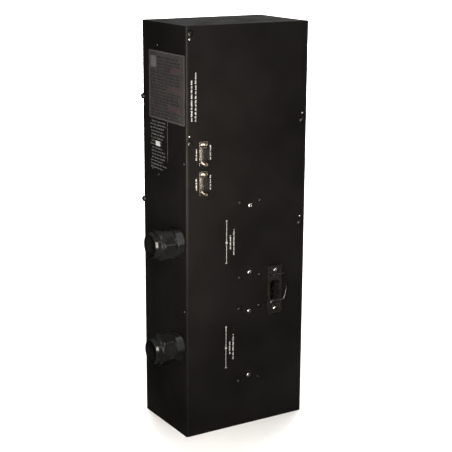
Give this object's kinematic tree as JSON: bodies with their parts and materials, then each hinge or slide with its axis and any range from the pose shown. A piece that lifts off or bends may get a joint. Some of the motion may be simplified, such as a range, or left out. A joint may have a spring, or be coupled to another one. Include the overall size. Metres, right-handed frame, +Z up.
{
  "type": "salt chlorine generator",
  "caption": "Tall black case with hex pipe fittings on one side, data sockets and a power inlet with a wire bail on the front, and flow cells inside.",
  "frame": {"origin": "centre of the case's footprint, on the plane that it stands on", "axes": "+Z up the case, +X to the right along its front, -Y out of its front; the pipe fittings point along -X"},
  "size_m": [0.2174, 0.1188, 0.52],
  "materials": {
    "powder_coat": "fine-textured black powder coat",
    "black_nylon": "moulded, satin",
    "black_plastic": "moulded, glossy",
    "rubber": "matt",
    "stainless": "bright",
    "nickel_plate": "satin plating",
    "aluminium": "mill",
    "titanium": "etched",
    "oxide_coating": "mixed-oxide coating",
    "brass": "bright",
    "grey_pvc": "moulded",
    "circuit_board": "solder mask",
    "lamination": "varnished",
    "winding_tape": "tape",
    "label_film": "grey film"
  },
  "bodies": {
    "case": {"back_panel": "powder_coat", "base_plate": "powder_coat", "caution_label": "label_film", "chassis_plate": "aluminium", "control_board": "circuit_board", "corner_angle_back_left": "powder_coat", "corner_angle_back_right": "powder_coat", "corner_angle_front_left": "powder_coat", "corner_angle_front_right": "powder_coat", "flow_switch_body": "black_plastic", "front_panel": "powder_coat", "inlet_blade_earth": "brass", "inlet_blade_line": "brass", "inlet_blade_neutral": "brass", "inlet_screw_bottom": "stainless", "inlet_screw_top": "stainless", "left_side_panel": "powder_coat", "link_pipe": "grey_pvc", "lower_anode_pack": "oxide_coating", "lower_cathode_pack": "titanium", "lower_cell_cover": "grey_pvc", "lower_cell_housing": "grey_pvc", "lower_cell_screw_bottom": "stainless", "lower_cell_screw_top": "stainless", "lower_compression_ring": "rubber", "lower_data_port_insulator": "black_plastic", "lower_data_port_jackscrew_bottom": "nickel_plate", "lower_data_port_jackscrew_top": "nickel_plate", "lower_data_port_shell": "nickel_plate", "lower_fitting_body": "black_nylon", "lower_lock_nut": "black_nylon", "lower_panel_gasket": "rubber", "lower_port_tube": "grey_pvc", "power_inlet_body": "black_plastic", "rectifier_heat_sink": "aluminium", "right_side_panel": "powder_coat", "smoothing_capacitor": "black_plastic", "terminal_block": "black_plastic", "top_cover": "powder_coat", "transformer_core": "lamination", "transformer_winding": "winding_tape", "upper_anode_pack": "oxide_coating", "upper_cathode_pack": "titanium", "upper_cell_cover": "grey_pvc", "upper_cell_housing": "grey_pvc", "upper_cell_screw_bottom": "stainless", "upper_cell_screw_top": "stainless", "upper_compression_ring": "rubber", "upper_data_port_insulator": "black_plastic", "upper_data_port_jackscrew_bottom": "nickel_plate", "upper_data_port_jackscrew_top": "nickel_plate", "upper_data_port_shell": "nickel_plate", "upper_fitting_body": "black_nylon", "upper_lock_nut": "black_nylon", "upper_panel_gasket": "rubber", "upper_port_tube": "grey_pvc"},
    "upper_nut": {"upper_compression_nut": "black_nylon"},
    "lower_nut": {"lower_compression_nut": "black_nylon"},
    "bail": {"cord_bail": "stainless"},
    "paddle": {"flow_switch_paddle": "titanium"}
  },
  "joints": [
    {"name": "upper_nut_turn", "type": "hinge", "parent": "case", "child": "upper_nut", "pos_m": [-0.118, -0.03775, 0.255], "axis": [1, 0, 0], "continuous": true},
    {"name": "lower_nut_turn", "type": "hinge", "parent": "case", "child": "lower_nut", "pos_m": [-0.118, -0.03775, 0.1185], "axis": [1, 0, 0], "continuous": true},
    {"name": "bail_swing", "type": "hinge", "parent": "case", "child": "bail", "pos_m": [0.0344, -0.06065, 0.1814], "axis": [0, 0, 1], "range_deg": [-175, 0]},
    {"name": "paddle_swing", "type": "hinge", "parent": "case", "child": "paddle", "pos_m": [-0.042, -0.03775, 0.274], "axis": [0, 1, 0], "range_deg": [0, 30], "stiffness_Nm_per_rad": 0.002, "springref_deg": -17.19}
  ]
}
